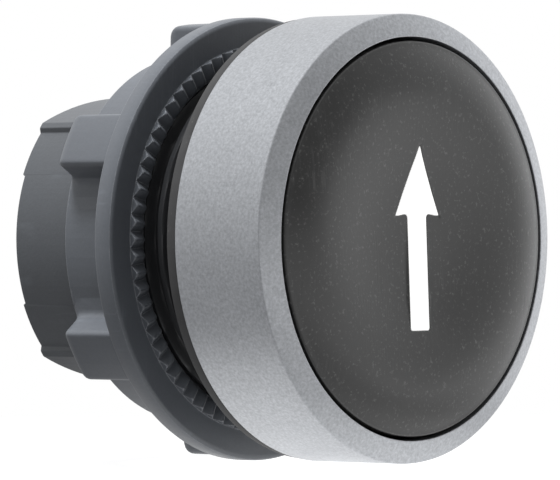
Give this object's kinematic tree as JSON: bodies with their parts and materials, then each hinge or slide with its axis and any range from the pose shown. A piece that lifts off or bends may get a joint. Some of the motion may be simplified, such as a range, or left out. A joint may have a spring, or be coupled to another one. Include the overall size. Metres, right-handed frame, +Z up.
{
  "type": "push button",
  "caption": "Round flush spring-return panel push button head with an up arrow on a dished black cap, a silver bezel, a gasket, a threaded neck and a lobed fixing nut.",
  "frame": {"origin": "on the axis of the head, in the plane of the panel's front face, which is the rear face of the gasket", "axes": "-Y out of the front of the cap, +Y along the neck to the rear rim, +Z up, the way the arrow points, +X right as seen from the front"},
  "size_m": [0.0292, 0.026, 0.0292],
  "materials": {
    "bezel_silver": "satin metallised plastic, fine grain",
    "cap_black": "satin, lightly scuffed",
    "arrow_white": "satin",
    "inner_plastic": "moulded, semi-matt",
    "housing_grey": "moulded, matt",
    "nut_grey": "moulded, semi-matt",
    "gasket_rubber": "matt rubber",
    "seal_rubber": "matt rubber",
    "spring_steel": "drawn wire"
  },
  "bodies": {
    "head": {"bezel_ring": "bezel_silver", "body_housing": "housing_grey", "guide_insert": "inner_plastic", "panel_gasket": "gasket_rubber", "plunger_seal": "seal_rubber", "seal_retainer": "inner_plastic", "return_stop_washer": "seal_rubber", "return_spring": "spring_steel"},
    "button": {"button_cap": "cap_black", "arrow_inlay": "arrow_white", "cap_carrier": "inner_plastic", "pusher": "inner_plastic"},
    "nut": {"fixing_nut": "nut_grey"}
  },
  "joints": [
    {"name": "button_press", "type": "slide", "parent": "head", "child": "button", "axis": [0, 1, 0], "range_m": [0, 0.0043], "stiffness_N_per_m": 310, "springref_m": -0.0072, "deforming": ["return_spring"]},
    {"name": "nut_turn", "type": "hinge", "parent": "head", "child": "nut", "pos_m": [0, 0.0078, 0], "axis": [0, 1, 0], "continuous": true}
  ]
}
